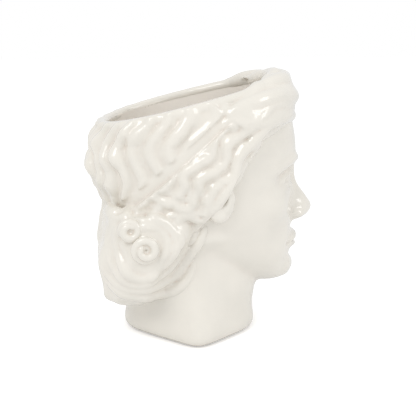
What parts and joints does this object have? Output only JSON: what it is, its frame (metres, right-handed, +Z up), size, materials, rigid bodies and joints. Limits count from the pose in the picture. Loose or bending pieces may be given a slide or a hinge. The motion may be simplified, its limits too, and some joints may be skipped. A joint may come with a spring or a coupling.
{
  "type": "head planter",
  "caption": "Glazed ceramic flower pot in the shape of a classical head, open at a slanted crown, with stuck-on hair, a lift-out drain plug and foot pads.",
  "frame": {"origin": "on the table, under the middle of the planter's length and width", "axes": "+X out of the face, +Y to the head's left, +Z up"},
  "size_m": [0.174, 0.13, 0.1999],
  "materials": {
    "glaze": "glossy ivory glaze",
    "plug": "matte",
    "pads": "matte"
  },
  "bodies": {
    "pot": {"head_shell": "glaze", "brow_roll": "glaze", "ribbon": "glaze", "crown_hair_right": "glaze", "temple_hair_right": "glaze", "nape_bunch_right": "glaze", "ringlet_right_upper": "glaze", "ringlet_right_lower": "glaze", "ear_right": "glaze", "crown_hair_left": "glaze", "temple_hair_left": "glaze", "nape_bunch_left": "glaze", "ringlet_left_upper": "glaze", "ringlet_left_lower": "glaze", "ear_left": "glaze", "foot_pads": "pads"},
    "plug": {"drain_plug": "plug"}
  },
  "joints": [
    {"name": "drain_plug_lift", "type": "slide", "parent": "pot", "child": "plug", "axis": [0, 0, 1], "range_m": [0, 0.03]}
  ]
}
